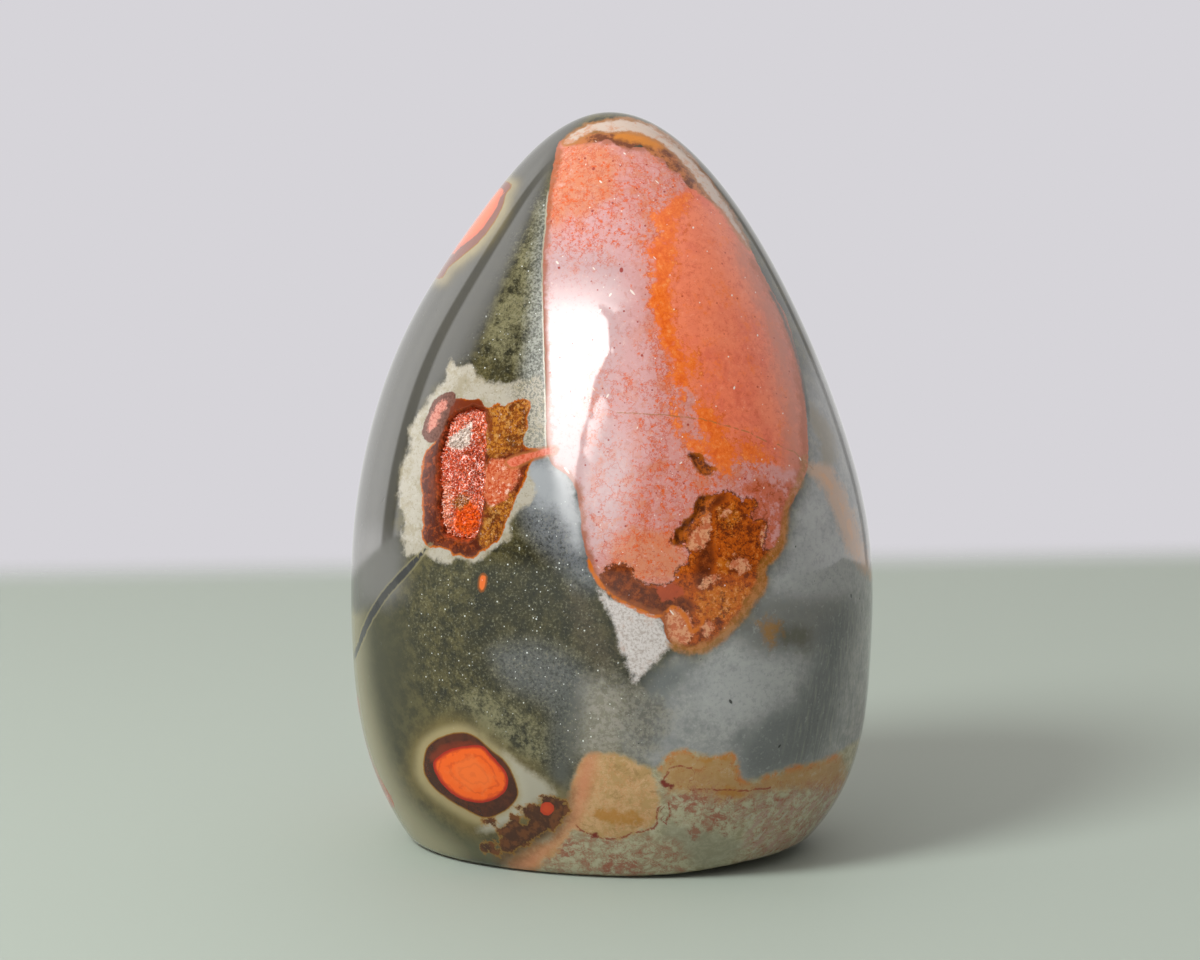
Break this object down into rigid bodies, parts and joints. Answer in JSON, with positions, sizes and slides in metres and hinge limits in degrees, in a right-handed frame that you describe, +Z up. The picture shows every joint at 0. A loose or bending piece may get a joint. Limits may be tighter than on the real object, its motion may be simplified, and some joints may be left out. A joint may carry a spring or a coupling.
{
  "type": "polished polychrome jasper freeform",
  "caption": "Egg-shaped, hand-polished polychrome jasper that stands on its flat ground base, with a crystal-lined vug in its front.",
  "frame": {"origin": "middle of the flat ground base, on the surface the stone stands on", "axes": "+Z up through the rounded tip, -Y out of the front face with the vug, +X to the right seen from the front"},
  "size_m": [0.0717, 0.0546, 0.1],
  "materials": {
    "polished_jasper": "glossy hand-polished jasper: olive-grey and blue-grey ground, salmon and orange patches, cream halos, tan foot",
    "red_druse": "glittering sugary crust of small orange-red crystals"
  },
  "bodies": {
    "root": {"jasper_stone": "polished_jasper", "druse_crust": "red_druse"}
  },
  "joints": []
}
